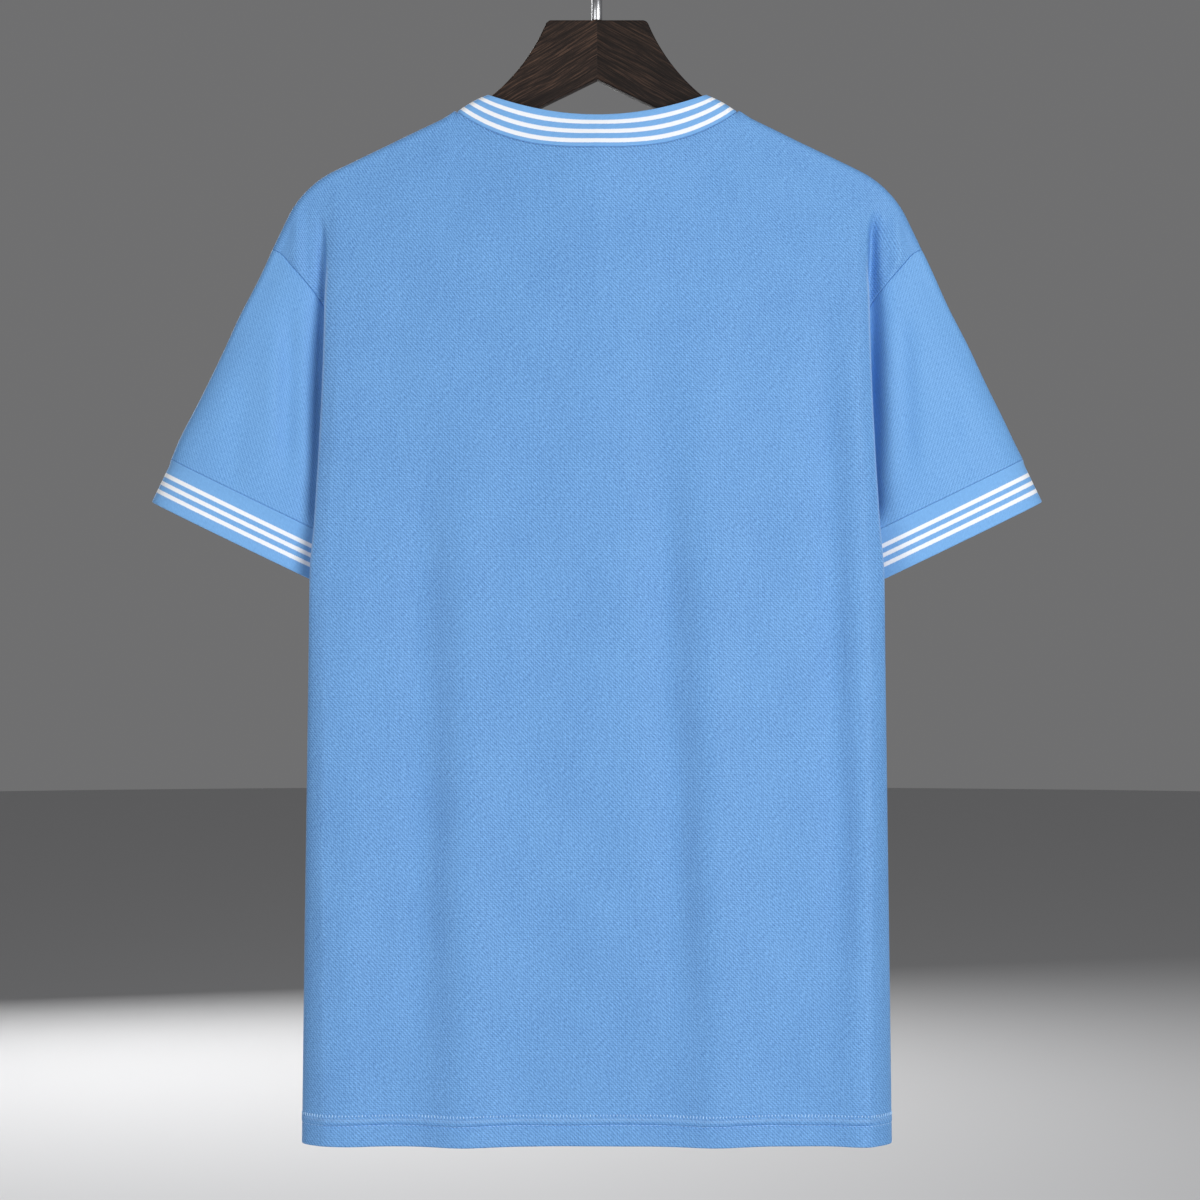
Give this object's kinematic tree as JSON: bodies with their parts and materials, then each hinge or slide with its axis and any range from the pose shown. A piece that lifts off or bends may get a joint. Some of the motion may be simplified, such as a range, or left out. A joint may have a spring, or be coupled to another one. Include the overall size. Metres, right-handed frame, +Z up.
{
  "type": "football jersey on a wooden hanger",
  "caption": "Short-sleeved football jersey with a plain knit body, striped rib collar and striped rib cuffs, hung empty on a flat wooden hanger with a wire hook.",
  "frame": {"origin": "the inside top of the hook, where it hangs on a rail", "axes": "+Z up, +X to the wearer's left, +Y out of the garment's back, -Y out of its front"},
  "size_m": [0.627, 0.1273, 0.8603],
  "materials": {
    "sky_knit": "fine polyester knit, soft sheen",
    "sky_rib": "flat rib knit with three white tipping stripes",
    "dark_wood": "dark stained, satin lacquer",
    "polished_steel": "polished"
  },
  "bodies": {
    "root": {"back_panel": "sky_knit", "front_panel": "sky_knit", "left_sleeve": "sky_knit", "right_sleeve": "sky_knit", "left_cuff": "sky_rib", "right_cuff": "sky_rib", "collar": "sky_rib", "hanger_left_arm": "dark_wood", "hanger_right_arm": "dark_wood", "hook_ferrule": "polished_steel", "hook": "polished_steel"}
  },
  "joints": []
}
